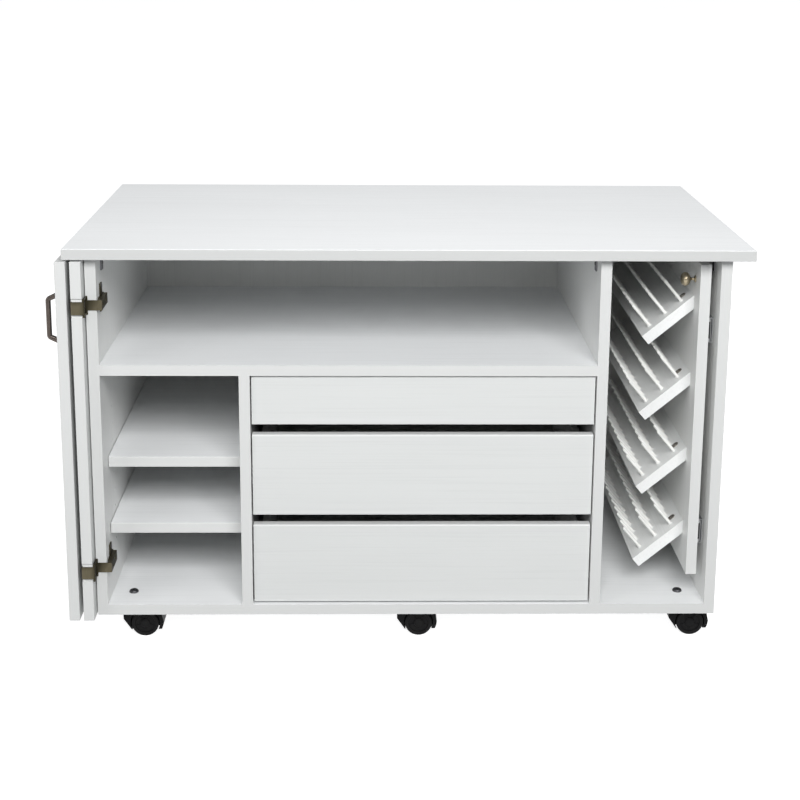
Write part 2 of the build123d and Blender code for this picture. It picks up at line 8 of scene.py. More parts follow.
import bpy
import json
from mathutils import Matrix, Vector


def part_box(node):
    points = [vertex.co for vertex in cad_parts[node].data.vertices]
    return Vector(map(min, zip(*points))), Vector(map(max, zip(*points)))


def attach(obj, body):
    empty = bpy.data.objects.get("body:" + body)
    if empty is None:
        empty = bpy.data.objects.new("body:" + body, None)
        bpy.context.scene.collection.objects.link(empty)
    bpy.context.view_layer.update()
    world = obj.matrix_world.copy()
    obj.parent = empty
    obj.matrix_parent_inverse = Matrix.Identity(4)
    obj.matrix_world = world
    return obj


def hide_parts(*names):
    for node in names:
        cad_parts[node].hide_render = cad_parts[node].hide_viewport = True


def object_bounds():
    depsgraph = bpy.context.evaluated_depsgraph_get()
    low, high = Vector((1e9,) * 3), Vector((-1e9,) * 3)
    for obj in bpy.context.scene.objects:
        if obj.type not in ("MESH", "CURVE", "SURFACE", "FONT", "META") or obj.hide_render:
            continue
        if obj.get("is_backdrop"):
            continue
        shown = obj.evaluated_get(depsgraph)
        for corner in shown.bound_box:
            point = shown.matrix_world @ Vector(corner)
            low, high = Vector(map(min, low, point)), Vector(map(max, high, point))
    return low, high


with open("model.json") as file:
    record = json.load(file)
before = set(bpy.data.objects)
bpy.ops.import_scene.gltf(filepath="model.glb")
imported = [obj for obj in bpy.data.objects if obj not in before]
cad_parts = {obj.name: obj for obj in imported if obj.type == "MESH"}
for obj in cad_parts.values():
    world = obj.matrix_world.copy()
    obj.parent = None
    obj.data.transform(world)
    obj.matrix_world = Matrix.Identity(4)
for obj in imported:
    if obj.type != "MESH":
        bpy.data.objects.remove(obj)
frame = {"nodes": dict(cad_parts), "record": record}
cad_low, cad_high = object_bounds()

# %% Tools used all through the lesson
import json
import math

import bmesh
import bpy
from mathutils import Matrix, Vector

MM = 0.001
nodes = frame["nodes"]
scene = bpy.context.scene
joint_at = {joint["name"]: joint for joint in frame["record"]["behaviour"]["joints"]}
print("table is", [round((high - low) / MM) for low, high in zip(cad_low, cad_high)], "mm")

# %% [markdown]
# ## Camera
# A table is best seen from well back and through a longer lens, so that the boards stay almost
# parallel. The lens is raised a little against the sensor (a small vertical shift), which keeps upright
# boards upright. A camera in Blender looks along its own -Z axis, so its axes are built from three plain
# angles: a turn, a tilt down and a slight roll.

# %% Camera
turn, tilt, roll = math.radians(1.16), math.radians(13.0), math.radians(0.38)
forward = Vector((math.sin(turn) * math.cos(tilt), math.cos(turn) * math.cos(tilt), -math.sin(tilt)))
level_right = Vector((math.cos(turn), -math.sin(turn), 0.0))
level_up = level_right.cross(forward)
right = level_right * math.cos(roll) + level_up * math.sin(roll)
up = level_up * math.cos(roll) - level_right * math.sin(roll)
lens = bpy.data.cameras.new("studio_camera")
lens.lens = 69.6
lens.shift_y = -0.15
lens.clip_end = 60.0
camera = bpy.data.objects.new("studio_camera", lens)
scene.collection.objects.link(camera)
camera.matrix_world = Matrix(
    (
        (right.x, up.x, -forward.x, -0.051),
        (right.y, up.y, -forward.y, -2.912),
        (right.z, up.z, -forward.z, 1.281),
        (0.0, 0.0, 0.0, 1.0),
    )
)
scene.camera = camera
print("camera stands", round(-camera.location.y, 2), "m in front of the table's middle")

# %% [markdown]
# ## Light and floor
# White furniture shows best in a white room. A weak surround fills every side. One large soft light
# stands above the camera and shines into the bay and the cubbies, and a weaker one stands at the left. One
# hangs overhead for the tabletop, and a small one high behind the table lifts its back a little. Large area
# lights give soft shadows inside. The standard view transform keeps white laminate white.

# %% Light
scene.view_settings.view_transform = "Standard"
scene.view_settings.look = "None"
surround = bpy.data.worlds.new("white_surround")
surround.use_nodes = True
surround.node_tree.nodes["Background"].inputs["Color"].default_value = (0.97, 0.985, 1.0, 1.0)
surround.node_tree.nodes["Background"].inputs["Strength"].default_value = 0.25
scene.world = surround


def soft_light(name, place, target, width, height, watts):
    """A large rectangular light that points at a target."""
    lamp = bpy.data.lights.new(name, "AREA")
    lamp.shape = "RECTANGLE"
    lamp.size, lamp.size_y, lamp.energy = width, height, watts
    lamp_object = bpy.data.objects.new(name, lamp)
    lamp_object.location = place
    lamp_object.rotation_euler = (Vector(target) - Vector(place)).to_track_quat("-Z", "Y").to_euler()
    scene.collection.objects.link(lamp_object)
    return lamp_object


soft_light("front_softbox", (0.45, -3.6, 2.75), (0.0, -0.1, 0.4), 2.6, 1.5, 172)
soft_light("side_softbox", (-2.9, -2.4, 1.9), (0.0, 0.0, 0.4), 1.8, 1.8, 30)
soft_light("overhead_softbox", (0.2, 0.3, 3.2), (0.0, 0.1, 0.7), 2.6, 2.6, 28)
soft_light("rear_softbox", (0.5, 3.0, 3.3), (0.0, 0.3, 0.35), 2.2, 1.4, 10)
print("four soft lights and a white surround")


# %% [markdown]
# ## Finishes
# All the finishes are procedural: they are worked out from a point's position, so the grain stays the same
# size on every board and needs no unwrapping. A small set of helpers keeps each finish short. `grains`
# stretches a noise along one direction, which is how wood-like embossing, brushed metal and turned metal
# all begin.

# %% Helpers for the finishes
def new_finish(name):
    """An empty material with its shader and object coordinates."""
    finish = bpy.data.materials.new(name)
    finish.use_nodes = True
    tree = finish.node_tree
    shader = tree.nodes["Principled BSDF"]
    place = tree.nodes.new("ShaderNodeTexCoord")
    return finish, tree, shader, place


def grains(tree, place, stretch, detail=4.0, roughness=0.6):
    """A noise whose scale differs by direction, from an object position in metres."""
    mapping = tree.nodes.new("ShaderNodeMapping")
    mapping.inputs["Scale"].default_value = stretch
    noise = tree.nodes.new("ShaderNodeTexNoise")
    noise.inputs["Scale"].default_value = 1.0
    noise.inputs["Detail"].default_value = detail
    noise.inputs["Roughness"].default_value = roughness
    tree.links.new(place.outputs["Object"], mapping.inputs["Vector"])
    tree.links.new(mapping.outputs["Vector"], noise.inputs["Vector"])
    return noise.outputs["Fac"]


def spread(tree, value, low, high, to_low, to_high):
    """Carries a varying number from one range to another."""
    node = tree.nodes.new("ShaderNodeMapRange")
    node.inputs["From Min"].default_value = low
    node.inputs["From Max"].default_value = high
    node.inputs["To Min"].default_value = to_low
    node.inputs["To Max"].default_value = to_high
    tree.links.new(value, node.inputs["Value"])
    return node.outputs["Result"]


def blended(tree, share, first, second):
    """A colour between two others. Each is a colour or another node's output."""
    node = tree.nodes.new("ShaderNodeMix")
    node.data_type = "RGBA"
    tree.links.new(share, node.inputs["Factor"])
    for socket, colour in ((node.inputs["A"], first), (node.inputs["B"], second)):
        if isinstance(colour, tuple):
            socket.default_value = (*colour, 1.0)
        else:
            tree.links.new(colour, socket)
    return node.outputs["Result"]


def relief(tree, shader, height, depth, strength=1.0, under=None):
    """Adds surface relief, on top of another relief if one is given."""
    node = tree.nodes.new("ShaderNodeBump")
    node.inputs["Distance"].default_value = depth
    node.inputs["Strength"].default_value = strength
    tree.links.new(height, node.inputs["Height"])
    if under is not None:
        tree.links.new(under, node.inputs["Normal"])
    tree.links.new(node.outputs["Normal"], shader.inputs["Normal"])
    return node.outputs["Normal"]


print("finish helpers: grains, spread, blended, relief")

# %% [markdown]
# ### Melamine-faced board
# The boards are chipboard faced with white melamine paper, pressed against a plate that leaves a faint
# straight grain. Three noises make it: a broad one drifts the white a little, a long narrow one is the
# embossed grain, and a finer one is its pores. The grain runs along a board's length, so the finish is made
# once each for the top, flat boards, uprights, doors, the back and the drawer fronts. Their whites are set to
# the light on each board: the doors and drawer fronts are darker, as painted shade on one white. The thin
# edge band is plain and painted darker than the face, as shade on the edges. It is found by the direction
# that a surface faces, since a board's edges face across its thickness.

# %% Melamine finish
ALONG = {"x": 0, "y": 1, "z": 2}
# Painted shade: the edge band colours are darker than the faces and stand for shade on the board edges. The
# tabletop's edge is darker still.
EDGE_BAND_PAINTED_SHADE = (0.630, 0.638, 0.632)
TOP_EDGE_BAND_PAINTED_SHADE = (0.550, 0.558, 0.553)


def melamine(name, grain, thickness, tint, contrast, edge=EDGE_BAND_PAINTED_SHADE):
    """White melamine with its grain along one axis, and an edge band round the board's thickness, painted
    darker as shade.
    """
    finish, tree, shader, place = new_finish(name)

    def stretched(along, across):
        values = [across, across, across]
        values[ALONG[grain]] = along
        return values

    drift = grains(tree, place, stretched(1.3, 5.0), 3.0)
    lines = grains(tree, place, stretched(3.0, 260.0), 5.0, 0.68)
    pores = grains(tree, place, stretched(38.0, 1500.0), 3.0, 0.55)
    whiter = tuple(min(1.0, part * 1.045) for part in tint)
    greyer = tuple(part * 0.90 for part in tint)
    face = blended(tree, spread(tree, drift, 0.3, 0.7, 0.0, 1.0), tint, whiter)
    face = blended(tree, spread(tree, lines, 0.52, 0.76, 0.0, contrast), face, greyer)
    across = tree.nodes.new("ShaderNodeSeparateXYZ")
    tree.links.new(place.outputs["Normal"], across.inputs["Vector"])
    facing = tree.nodes.new("ShaderNodeMath")
    facing.operation = "ABSOLUTE"
    tree.links.new(across.outputs[thickness.upper()], facing.inputs[0])
    # Painted shade: faces that look across the board's thickness take the darker edge band colour.
    painted_edge_shade = spread(tree, facing.outputs["Value"], 0.25, 0.75, 1.0, 0.0)
    tree.links.new(blended(tree, painted_edge_shade, face, edge), shader.inputs["Base Color"])
    tree.links.new(spread(tree, lines, 0.35, 0.75, 0.34, 0.52), shader.inputs["Roughness"])
    shader.inputs["Specular IOR Level"].default_value = 0.42
    first = relief(tree, shader, spread(tree, lines, 0.3, 0.8, 1.0, 0.0), 0.00022, 0.6)
    relief(tree, shader, pores, 0.00006, 0.5, under=first)
    return finish


# The whites are set to the light: the doors and drawer fronts are darker, as painted shade, and the top and
# flat boards are lighter.
top_white = melamine("melamine_tabletop", "x", "z", (0.800, 0.811, 0.817), 0.62, TOP_EDGE_BAND_PAINTED_SHADE)
flat_white = melamine("melamine_flat_boards", "x", "z", (0.815, 0.826, 0.832), 0.85)
upright_white = melamine("melamine_upright_boards", "z", "x", (0.790, 0.796, 0.785), 0.62)
door_white_painted_shade = melamine("melamine_doors_painted_shade", "z", "x", (0.640, 0.650, 0.643), 0.50)
back_white = melamine("melamine_back", "z", "y", (0.735, 0.740, 0.725), 0.62)
drawer_front_white_painted_shade = melamine("melamine_drawer_fronts_painted_shade", "x", "y", (0.628, 0.640, 0.634), 0.45)
print("six whites of melamine")


# %% [markdown]
# ### Boards
# A board leaves the saw sharp, and the edge banding machine eases it by about half a millimetre. The eased
# edge is what catches the light, so each board gets a weld (the imported faces don't share their corners), a
# narrow bevel and weighted normals. These are modifiers: the model's own mesh is never changed.

# %% Give the boards their eased edges and finish
def eased(board, width, segments=2, angle=50):
    """Softens a model solid's edges with modifiers."""
    weld = board.modifiers.new("weld", "WELD")
    weld.merge_threshold = 0.00001
    ease = board.modifiers.new("ease", "BEVEL")
    ease.width = width
    ease.segments = segments
    ease.limit_method = "ANGLE"
    ease.angle_limit = math.radians(angle)
    ease.use_clamp_overlap = True
    ease.harden_normals = False
    weighted = board.modifiers.new("even_shading", "WEIGHTED_NORMAL")
    weighted.keep_sharp = False
    weighted.weight = 60


def dress(name, finish, width=0.0006, segments=2, angle=50):
    """Puts a finish on a model solid and eases its edges."""
    board = nodes[name]
    board.data.materials.clear()
    board.data.materials.append(finish)
    for face in board.data.polygons:
        face.use_smooth = True
    eased(board, width, segments, angle)


dress("tabletop", top_white)
for name in ("base_panel", "machine_shelf", "adjustable_shelves"):
    dress(name, flat_white)
for name in ("left_side_panel", "right_side_panel", "left_divider", "right_divider", "rack_panel"):
    dress(name, upright_white)
for name in ("door_inner_panel", "door_outer_panel"):
    dress(name, door_white_painted_shade)
dress("back_panel", back_white)
for number in (1, 2, 3):
    dress(f"drawer_{number}_front", drawer_front_white_painted_shade)
print("fifteen boards dressed")

# %% [markdown]
# ### Sloped rack shelves and drawer boxes
# A sloped shelf's thickness lies across the slope, so the edge band can't be found by one axis. Its grain
# runs front to back like its length, and the whole shelf takes one tone. The drawer boxes are thinner
# boards, faced smooth.

# %% Rack shelves and drawer boxes
def plain_melamine(name, grain, tint, gloss):
    """Melamine without an edge band, for sloped shelves and box boards."""
    finish, tree, shader, place = new_finish(name)
    stretch = [260.0, 260.0, 260.0]
    stretch[ALONG[grain]] = 3.0
    drift = grains(tree, place, (3.0, 3.0, 3.0), 2.0)
    lines = grains(tree, place, stretch, 5.0, 0.6)
    lighter = tuple(min(1.0, part * 1.05) for part in tint)
    face = blended(tree, spread(tree, drift, 0.3, 0.7, 0.0, 1.0), tint, lighter)
    darker = tuple(part * 0.90 for part in tint)
    face = blended(tree, spread(tree, lines, 0.52, 0.76, 0.0, 0.62), face, darker)
    tree.links.new(face, shader.inputs["Base Color"])
    tree.links.new(spread(tree, lines, 0.35, 0.75, gloss, gloss + 0.16), shader.inputs["Roughness"])
    relief(tree, shader, lines, 0.0002, 0.6)
    return finish


sloped_white = plain_melamine("melamine_sloped", "y", (0.775, 0.785, 0.778), 0.34)
box_white = plain_melamine("melamine_box", "y", (0.70, 0.705, 0.70), 0.42)
dress("rack_shelves", sloped_white)
for number in (1, 2, 3):
    dress(f"drawer_{number}_box", box_white, 0.0004)
print("rack shelves and three drawer boxes dressed")


# %% [markdown]
# ### Metals
# Zinc-plated slides are grey and slightly blue, with rolling marks along the rail. The hinges are an antique
# bronze plate, dark in the recesses and rubbed paler on the edges, and the handle is a browner one. Brackets
# and caster bolts are blackened steel, and the cam locks are a dark zinc casting. The rack's knob is turned
# and satin brass plated. `pointiness` tells a convex edge from a flat face, so wear lands on the edges.

# %% Metal finishes
def metal(name, base, rubbed, rough, marks, mark_depth=0.00003, blotch=90.0):
    """A plated metal: colour drift, directional marks in its sheen, and rubbed edges."""
    finish, tree, shader, place = new_finish(name)
    shader.inputs["Metallic"].default_value = 1.0
    patches = grains(tree, place, (blotch, blotch, blotch), 4.0)
    scratches = grains(tree, place, marks, 3.0, 0.5)
    deep = tuple(part * 0.72 for part in base)
    colour = blended(tree, spread(tree, patches, 0.3, 0.7, 0.0, 1.0), deep, base)
    geometry = tree.nodes.new("ShaderNodeNewGeometry")
    worn = spread(tree, geometry.outputs["Pointiness"], 0.52, 0.60, 0.0, 0.85)
    tree.links.new(blended(tree, worn, colour, rubbed), shader.inputs["Base Color"])
    tree.links.new(spread(tree, scratches, 0.3, 0.7, rough, rough + 0.18), shader.inputs["Roughness"])
    relief(tree, shader, scratches, mark_depth, 0.6)
    return finish


zinc = metal("zinc_plate", (0.44, 0.455, 0.47), (0.62, 0.63, 0.64), 0.26, (900.0, 14.0, 900.0))
bronze = metal("antique_bronze", (0.046, 0.041, 0.026), (0.120, 0.105, 0.070), 0.42, (420.0, 420.0, 60.0))
handle_bronze = metal("dark_bronze", (0.105, 0.088, 0.078), (0.30, 0.26, 0.23), 0.30, (300.0, 300.0, 40.0))
dark_steel = metal("blackened_steel", (0.075, 0.075, 0.08), (0.22, 0.22, 0.23), 0.38, (500.0, 500.0, 500.0))
satin_brass = metal("satin_antique_brass", (0.34, 0.29, 0.20), (0.52, 0.46, 0.34), 0.24, (1100.0, 60.0, 60.0))
cam_metal = metal("dark_zinc_casting", (0.24, 0.22, 0.20), (0.46, 0.43, 0.39), 0.42, (700.0, 700.0, 700.0))
print("metals: zinc, bronze, blackened steel, satin brass, dark casting")


# %% [markdown]
# ### Plastics
# The caster hoods are moulded nylon with a fine spark-eroded texture, and their treads are a softer,
# greyer plastic that picks up a little dust. Pegs and screw caps are white plastic, shinier than board.

# %% Plastic finishes
def moulded(name, base, dusty, rough, texture, depth, shine=0.34):
    """Moulded plastic: a fine even texture, slight colour drift and uneven gloss."""
    finish, tree, shader, place = new_finish(name)
    drift = grains(tree, place, (55.0, 55.0, 55.0), 4.0)
    skin = grains(tree, place, (texture, texture, texture), 2.0)
    dust = spread(tree, drift, 0.45, 0.75, 0.0, 1.0)
    tree.links.new(blended(tree, dust, base, dusty), shader.inputs["Base Color"])
    tree.links.new(spread(tree, drift, 0.3, 0.7, rough, rough + 0.14), shader.inputs["Roughness"])
    shader.inputs["Specular IOR Level"].default_value = shine
    relief(tree, shader, skin, depth, 0.5)
    return finish


hood_black = moulded("hood_nylon", (0.0035, 0.0035, 0.004), (0.008, 0.008, 0.0085), 0.34, 1500.0, 5e-5, 0.10)
tread_black = moulded("tread_plastic", (0.005, 0.005, 0.0055), (0.01, 0.01, 0.0095), 0.40, 900.0, 6e-5, 0.11)
peg_white = moulded("peg_plastic", (0.79, 0.79, 0.77), (0.84, 0.84, 0.82), 0.28, 700.0, 0.00003)
cap_white = moulded("cap_plastic", (0.77, 0.775, 0.77), (0.82, 0.82, 0.815), 0.32, 800.0, 0.00003)
stop_black = moulded("stop_plastic", (0.012, 0.012, 0.013), (0.03, 0.03, 0.031), 0.42, 1100.0, 0.00004)
print("plastics: hood, tread, pegs, caps, stops")


# %% [markdown]
# ## Making small pieces
# Most hardware is turned, stamped or drawn through a section, so it can be built as a stack of rings: a
# list of closed rings with the same number of points, joined by quads. One function makes them all.
# `placed` turns a local Z axis into any direction, and `make_piece` turns finished mesh code into a named
# object that rides on its body.

# %% Mesh helpers
def ring_stack(mesh, rings, place=None):
    """Joins closed rings of points with quads, and closes both ends."""
    place = place or Matrix.Identity(4)
    rows = [[mesh.verts.new(place @ Vector(point)) for point in ring] for ring in rings]
    count = len(rows[0])
    for lower, upper in zip(rows, rows[1:]):
        for at in range(count):
            after = (at + 1) % count
            mesh.faces.new((lower[at], lower[after], upper[after], upper[at]))
    mesh.faces.new(list(reversed(rows[0])))
    mesh.faces.new(rows[-1])


def circle(radius, height, sides):
    """Points of a circle round local Z."""
    steps = [2 * math.pi * step / sides for step in range(sides)]
    return [(radius * math.cos(step), radius * math.sin(step), height) for step in steps]


def placed(point, direction):
    """A matrix that puts local Z along a direction from a point."""
    turned_to = Vector(direction).to_track_quat("Z", "Y").to_matrix().to_4x4()
    return Matrix.Translation(Vector(point)) @ turned_to


def turned(mesh, profile, point, direction, sides=24):
    """A lathe-turned form from (radius, height) pairs in millimetres."""
    rings = [circle(max(radius, 0.02) * MM, height * MM, sides) for radius, height in profile]
    ring_stack(mesh, rings, placed(point, direction))


def make_piece(name, mesh, body, finish, instead_of=(), sharp=35):
    """Turns mesh code into an object, with a finish, on a body."""
    bmesh.ops.recalc_face_normals(mesh, faces=mesh.faces)
    data = bpy.data.meshes.new(name)
    mesh.to_mesh(data)
    mesh.free()
    data.materials.append(finish)
    for face in data.polygons:
        face.use_smooth = True
    data.set_sharp_from_angle(angle=math.radians(sharp))
    made = bpy.data.objects.new(name, data)
    scene.collection.objects.link(made)
    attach(made, body)
    if instead_of:
        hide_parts(*instead_of)
    return made


def loose_parts(node):
    """Lowest and highest corner of each separate solid in a model node, in a fixed order."""
    mesh = bmesh.new()
    mesh.from_mesh(nodes[node].data)
    bmesh.ops.remove_doubles(mesh, verts=mesh.verts, dist=0.00001)
    waiting = set(mesh.verts)
    found = []
    while waiting:
        group = [waiting.pop()]
        for vertex in group:
            for edge in vertex.link_edges:
                for other in edge.verts:
                    if other in waiting:
                        waiting.remove(other)
                        group.append(other)
        corners = [vertex.co for vertex in group]
        low = Vector([min(corner[axis] for corner in corners) for axis in range(3)])
        high = Vector([max(corner[axis] for corner in corners) for axis in range(3)])
        found.append((low, high))
    mesh.free()
    return sorted(found, key=lambda pair: tuple(round(value, 5) for value in (*pair[0], *pair[1])))


for name in ("assembly_screws", "mounting_screws", "rack_pegs", "rack_cam_locks", "shelf_pins"):
    print(name, len(loose_parts(name)))


# %% [markdown]
# ## Screws
# Every screw head has a real recess that a driver fits: a cross for the small pan heads, a hexagon for the
# big assembly screws. The recess is one more ring in the stack, with its points on a cross or a hexagon
# instead of a circle, so the head stays a single closed mesh.

# %% Screw heads
def cross_ring(arm, half_width, height):
    """Thirty-two points round a plus sign."""
    quarter = [(arm, 0.0), (arm, half_width), (half_width, half_width), (half_width, arm)]
    corners = []
    for turn_count in range(4):
        for x, y in quarter:
            for _ in range(turn_count):
                x, y = -y, x
            corners.append((x, y))
    points = []
    for at, (x, y) in enumerate(corners):
        next_x, next_y = corners[(at + 1) % len(corners)]
        points += [(x, y, height), ((x + next_x) / 2, (y + next_y) / 2, height)]
    return points


def hex_ring(radius, height, sides=24):
    """Points round a hexagon, the same number on each side."""
    per_side = sides // 6
    points = []
    for side in range(6):
        start, end = (math.radians(60 * corner) for corner in (side, side + 1))
        for step in range(per_side):
            share = step / per_side
            x = math.cos(start) * (1 - share) + math.cos(end) * share
            y = math.sin(start) * (1 - share) + math.sin(end) * share
            points.append((radius * x, radius * y, height))
    return points


def pan_head(mesh, seat, direction, radius=3.4, height=1.4):
    """A domed cross-recess head that stands on a surface. Sizes in millimetres."""
    dome = [circle(radius * MM, 0.0, 32), circle(radius * MM, height * 0.35 * MM, 32)]
    for share in (0.25, 0.5, 0.75, 1.0):
        lean = math.radians(90 * share)
        reach = radius * (0.62 + 0.38 * math.cos(lean))
        rise = height * (0.35 + 0.65 * math.sin(lean))
        dome.append(circle(reach * MM, rise * MM, 32))
    arm, half_width = radius * 0.5 * MM, radius * 0.13 * MM
    dome.append(cross_ring(arm, half_width, height * MM))
    dome.append(cross_ring(arm * 0.7, half_width * 0.7, height * 0.3 * MM))
    ring_stack(mesh, dome, placed(seat, direction))


def socket_head(mesh, seat, direction, radius=5.0, depth=2.4):
    """A flat head let in flush, with a hexagonal socket. Sizes in millimetres."""
    rings = [
        circle(radius * 0.7 * MM, -3.2 * MM, 24),
        circle(radius * MM, -1.2 * MM, 24),
        circle(radius * MM, -0.25 * MM, 24),
        circle((radius - 0.3) * MM, 0.0, 24),
        hex_ring(2.35 * MM, 0.0),
        hex_ring(2.2 * MM, -depth * MM),
    ]
    ring_stack(mesh, rings, placed(seat, direction))


print("screw heads: cross recess and hexagonal socket")

# %% [markdown]
# ### Assembly screws and their caps
# Long screws join the boards. On the two outer sides a white cap hides each head. Inside the rack column
# and under the base the heads stay bare. The model's screws are single solids, so each one's box says
# where its head is: at the outer end, on the surface.

# %% Assembly screws
heads = bmesh.new()
caps = bmesh.new()
left_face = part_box("left_side_panel")[0].x
right_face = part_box("right_side_panel")[1].x
cap_profile = [(0.0, 0.0), (6.4, 0.0), (6.5, 0.25), (6.1, 0.7), (5.0, 0.9), (0.0, 0.95)]
for low, high in loose_parts("assembly_screws"):
    middle = (low + high) / 2
    if high.z - low.z > 0.03:
        seat, out = Vector((middle.x, middle.y, low.z)), Vector((0, 0, -1))
    elif abs(low.x - left_face) < 0.001:
        seat, out = Vector((low.x, middle.y, middle.z)), Vector((-1, 0, 0))
    else:
        seat, out = Vector((high.x, middle.y, middle.z)), Vector((1, 0, 0))
    socket_head(heads, seat, out)
    shank = [(0.0, 3.0), (2.9, 3.0), (2.9, 46.0), (1.2, 48.0), (0.0, 48.0)]
    turned(heads, shank, seat, -out, 12)
    if abs(seat.x - left_face) < 0.001 or abs(seat.x - right_face) < 0.001:
        turned(caps, cap_profile, seat, out, 32)
make_piece("assembly_screw_heads", heads, "cabinet", zinc, ["assembly_screws"])
make_piece("screw_caps", caps, "cabinet", cap_white)
print("assembly screws and caps made")

# %% [markdown]
# ### Small screws
# Pan-head screws hold the hinge plates, the brackets and the door hinges. Each small screw in the model
# has its head at one end, on the side that a driver reaches. For the ones along X the head is towards the
# open side of the piece it holds; the ones along Z are driven up into the tabletop.

# %% Small screws
def small_screws(name, node, body, walls):
    """Remakes a node's small screws. walls are the X of each face that a screw is driven into."""
    made = bmesh.new()
    for low, high in loose_parts(node):
        middle = (low + high) / 2
        if high.z - low.z > 0.009:
            seat, out = Vector((middle.x, middle.y, low.z + 1.4 * MM)), Vector((0, 0, -1))
        else:
            near = min(walls, key=lambda wall: min(abs(low.x - wall), abs(high.x - wall)))
            if abs(high.x - near) < abs(low.x - near):
                seat, out = Vector((high.x - 1.4 * MM, middle.y, middle.z)), Vector((1, 0, 0))
            else:
                seat, out = Vector((low.x + 1.4 * MM, middle.y, middle.z)), Vector((-1, 0, 0))
        pan_head(made, seat, out)
        shank = [(1.7, 0.0), (1.7, 8.5), (0.6, 10.8), (0.02, 11.0)]
        turned(made, shank, seat, -out, 12)
    make_piece(name, made, body, bronze if "door" in name else dark_steel, [node])


inner_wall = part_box("left_side_panel")[1].x
divider_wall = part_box("right_divider")[0].x
rack_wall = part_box("right_side_panel")[0].x
small_screws("mounting_screw_heads", "mounting_screws", "cabinet", (inner_wall, divider_wall, rack_wall))
small_screws("door_inner_screw_heads", "door_inner_screws", "door_inner", (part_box("door_inner_panel")[0].x,))
print("small screws made")

# %% [markdown]
# Two more screws sit on the outer face of each hinge arm: the front one sets how far the door stands off,
# and the rear one locks the arm onto its plate. The arm is level, so both lie on its middle height.

# %% Hinge arm screws
arm_screws = bmesh.new()
for low, high in loose_parts("hinge_side_arms"):
    level = (low.z + high.z) / 2
    for share in (0.42, 0.82):
        seat = Vector((high.x, low.y + (high.y - low.y) * share, level))
        pan_head(arm_screws, seat, (1, 0, 0), 3.2, 1.2)
make_piece("hinge_arm_screw_heads", arm_screws, "cabinet", bronze)
print("hinge arm screws made")

# %% [markdown]
# The outer door panel has two sorts of screw: the short ones in the hinge leaves, and the long ones that
# pass through the panel and hold the handle.

# %% Outer door screws
door_screws = bmesh.new()
outer_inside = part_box("door_outer_panel")[1].x
for low, high in loose_parts("door_outer_screws"):
    middle = (low + high) / 2
    long_one = high.x - low.x > 0.02
    height, radius = (2.0, 4.0) if long_one else (1.4, 3.4)
    seat = Vector((outer_inside, middle.y, middle.z))
    pan_head(door_screws, seat, (1, 0, 0), radius, height)
    length = (seat.x - low.x) / MM
    turned(door_screws, [(1.9, 0.0), (1.9, length - 0.6), (1.4, length)], seat, (-1, 0, 0), 12)
make_piece("door_outer_screw_heads", door_screws, "door_outer", bronze, ["door_outer_screws"])
print("outer door screws made")

# %% [markdown]
# ## Hinges, brackets and slide rails
# These are bent and stamped sheet metal, and the model already has their shape: the wrap-round arms, the
# knuckles and the cross-shaped plates. They keep the model's mesh and get rounded edges and plating.
# Stamped steel has a small radius where it was sheared, so the bevel is a quarter of a millimetre.

# %% Dress the sheet-metal pieces
for name in ("hinge_plates", "hinge_side_arms", "hinge_door_arms"):
    dress(name, bronze, 0.0005, 3, 40)
for name in ("fold_hinge_inner_leaves", "fold_hinge_outer_leaves"):
    dress(name, bronze, 0.0003, 2, 40)
rail_nodes = [name for name in nodes if name.endswith("_rails")]
for name in rail_nodes:
    dress(name, zinc, 0.0002, 2, 50)
print("sheet-metal pieces:", 5 + len(rail_nodes))

# %% [markdown]
# ### Slide screws and balls
# A ball-bearing slide has three members. Screws hold the inner one to the drawer's side or to the rack's
# upright, with their heads inside the channel. Rows of small steel balls run in the cages between the
# members. The balls are what shows as bright dots when a drawer is pulled out.

# %% Slide screws and balls
def ball(mesh, middle, radius, sides=8):
    """A small steel ball, as a stack of rings."""
    rings = []
    for step in range(1, 6):
        lean = math.pi * step / 6
        rings.append(circle(radius * math.sin(lean), -radius * math.cos(lean), sides))
    ring_stack(mesh, rings, Matrix.Translation(middle))


for stem in ("drawer_1", "drawer_2", "drawer_3", "rack"):
    inner_screws = bmesh.new()
    own_middle = (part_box("drawer_1_box")[0].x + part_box("drawer_1_box")[1].x) / 2
    for low, high in loose_parts(f"{stem}_inner_rails"):
        wall_on_left = stem != "rack" and low.x < own_middle
        seat_x, out = (high.x - 1.2 * MM, -1) if wall_on_left else (low.x + 1.2 * MM, 1)
        for share in (0.08, 0.5, 0.92):
            seat = Vector((seat_x, low.y + (high.y - low.y) * share, (low.z + high.z) / 2))
            pan_head(inner_screws, seat, (out, 0, 0), 3.3, 1.3)
    make_piece(f"{stem}_slide_screws", inner_screws, stem, zinc)
    balls = bmesh.new()
    count = 0
    for low, high in loose_parts(f"{stem}_middle_rails"):
        if high.z - low.z > 0.004:
            continue
        middle = (low + high) / 2
        for step in range(25):
            spot = Vector((middle.x, low.y + 0.010 + 0.020 * step, middle.z))
            if spot.y < high.y - 0.004:
                ball(balls, spot, 1.15 * MM)
                count += 1
    make_piece(f"{stem}_slide_balls", balls, f"{stem}_middle", zinc)
    print(stem, "balls:", count)

# %% [markdown]
# ### Drawer front screws
# Each drawer front is a separate board, held by four screws from inside the box.

# %% Drawer front screws
for number in (1, 2, 3):
    low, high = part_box(f"drawer_{number}_box")
    fixing = bmesh.new()
    for share in (0.12, 0.38, 0.62, 0.88):
        seat = Vector((low.x + (high.x - low.x) * share, low.y + 12 * MM, low.z + (high.z - low.z) * 0.62))
        pan_head(fixing, seat, (0, 1, 0), 3.6, 1.5)
    make_piece(f"drawer_{number}_front_screws", fixing, f"drawer_{number}", zinc)
print("drawer front screws made")

# %% [markdown]
# ### Back panel screws
# The back is screwed to the rear edges of the machine shelf and the two dividers.

